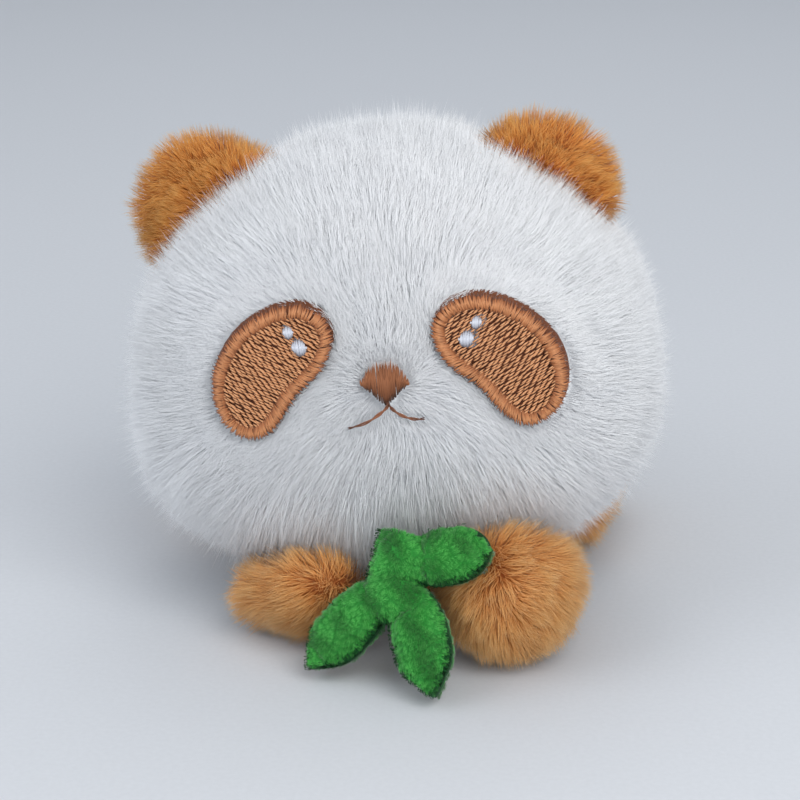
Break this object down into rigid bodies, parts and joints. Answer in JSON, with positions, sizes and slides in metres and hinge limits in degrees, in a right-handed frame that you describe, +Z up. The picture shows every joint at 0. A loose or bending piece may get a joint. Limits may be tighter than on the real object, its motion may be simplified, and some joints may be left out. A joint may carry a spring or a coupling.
{
  "type": "plush panda",
  "caption": "Small plush panda lying on its belly, chin on its front paws, with embroidered eye patches and a cloth leaf sprig between the paws.",
  "frame": {"origin": "middle of the toy's box, on the surface it lies on", "axes": "+Z up, the face looks along -Y, +X is the toy's own left, +Y runs back along the body to the tail"},
  "size_m": [0.1083, 0.141, 0.1006],
  "materials": {
    "white_pile": "long pile plush",
    "brown_pile": "medium pile plush",
    "white_short_pile": "short pile plush",
    "stuffing": "polyester fibre fill",
    "brown_thread": "satin embroidery thread",
    "border_thread": "satin embroidery thread",
    "silver_thread": "satin embroidery thread",
    "mouth_thread": "twisted thread",
    "white_thread": "sewing thread",
    "green_velour": "short velour pile",
    "green_thread": "overlock thread"
  },
  "bodies": {
    "torso": {"shoulder_yoke": "brown_pile", "torso_left": "white_pile", "torso_right": "white_pile", "belly_panel": "white_short_pile", "torso_stuffing": "stuffing", "closing_stitches": "white_thread"},
    "neck": {"neck_seam": "white_thread"},
    "head": {"head_face": "white_pile", "head_back_left": "white_pile", "head_back_right": "white_pile", "head_stuffing": "stuffing", "eye_patch_left": "brown_thread", "eye_patch_right": "brown_thread", "eye_border_left": "border_thread", "eye_border_right": "border_thread", "eye_glints_left": "silver_thread", "eye_glints_right": "silver_thread", "nose_embroidery": "brown_thread", "mouth_stitch": "mouth_thread"},
    "ear_left": {"ear_left_front": "brown_pile", "ear_left_back": "brown_pile"},
    "ear_right": {"ear_right_front": "brown_pile", "ear_right_back": "brown_pile"},
    "arm_left": {"arm_left_top": "brown_pile", "arm_left_under": "brown_pile", "arm_left_stuffing": "stuffing"},
    "arm_right": {"arm_right_top": "brown_pile", "arm_right_under": "brown_pile", "arm_right_stuffing": "stuffing"},
    "leg_left": {"leg_left_top": "brown_pile", "leg_left_under": "brown_pile", "leg_left_stuffing": "stuffing"},
    "leg_right": {"leg_right_top": "brown_pile", "leg_right_under": "brown_pile", "leg_right_stuffing": "stuffing"},
    "tail": {"tail_cover": "white_pile", "tail_stuffing": "stuffing"},
    "sprig": {"sprig_front": "green_velour", "sprig_back": "green_velour", "sprig_wadding": "stuffing", "sprig_edging": "green_thread", "sprig_tack": "green_thread"}
  },
  "joints": [
    {"name": "neck_turn", "type": "hinge", "parent": "torso", "child": "neck", "pos_m": [0, 0.025, 0.0226], "axis": [0, -0.726, 0.6877], "range_deg": [-8, 8], "stiffness_Nm_per_rad": 0.25},
    {"name": "head_nod", "type": "hinge", "parent": "neck", "child": "head", "pos_m": [0, 0.025, 0.0226], "axis": [-1, 0, 0], "range_deg": [0, 10]},
    {"name": "ear_left_fold", "type": "hinge", "parent": "head", "child": "ear_left", "pos_m": [0.02766, -0.0092, 0.08465], "axis": [0.788, 0, -0.6157], "range_deg": [-15, 15], "stiffness_Nm_per_rad": 0.004},
    {"name": "ear_right_fold", "type": "hinge", "parent": "head", "child": "ear_right", "pos_m": [-0.03814, -0.0092, 0.07924], "axis": [0.6428, 0, 0.766], "range_deg": [-15, 15], "stiffness_Nm_per_rad": 0.004},
    {"name": "arm_left_swing", "type": "hinge", "parent": "torso", "child": "arm_left", "pos_m": [0.029, -0.0142, 0.0115], "axis": [0, 0, 1], "range_deg": [0, 30], "stiffness_Nm_per_rad": 0.01},
    {"name": "arm_right_swing", "type": "hinge", "parent": "torso", "child": "arm_right", "pos_m": [-0.029, -0.0162, 0.0115], "axis": [0, 0, -1], "range_deg": [0, 30], "stiffness_Nm_per_rad": 0.01},
    {"name": "leg_left_swing", "type": "hinge", "parent": "torso", "child": "leg_left", "pos_m": [0.0368, 0.0348, 0.012], "axis": [0, 0, 1], "range_deg": [0, 20], "stiffness_Nm_per_rad": 0.01},
    {"name": "leg_right_swing", "type": "hinge", "parent": "torso", "child": "leg_right", "pos_m": [-0.0368, 0.0348, 0.012], "axis": [0, 0, -1], "range_deg": [0, 20], "stiffness_Nm_per_rad": 0.01},
    {"name": "tail_bend", "type": "hinge", "parent": "torso", "child": "tail", "pos_m": [0, 0.0598, 0.027], "axis": [1, 0, 0], "range_deg": [-15, 15], "stiffness_Nm_per_rad": 0.004},
    {"name": "sprig_lift", "type": "hinge", "parent": "arm_left", "child": "sprig", "pos_m": [0.00243, -0.04745, 0.02659], "axis": [-0.9205, 0.3907, 0], "range_deg": [0, 30]}
  ]
}
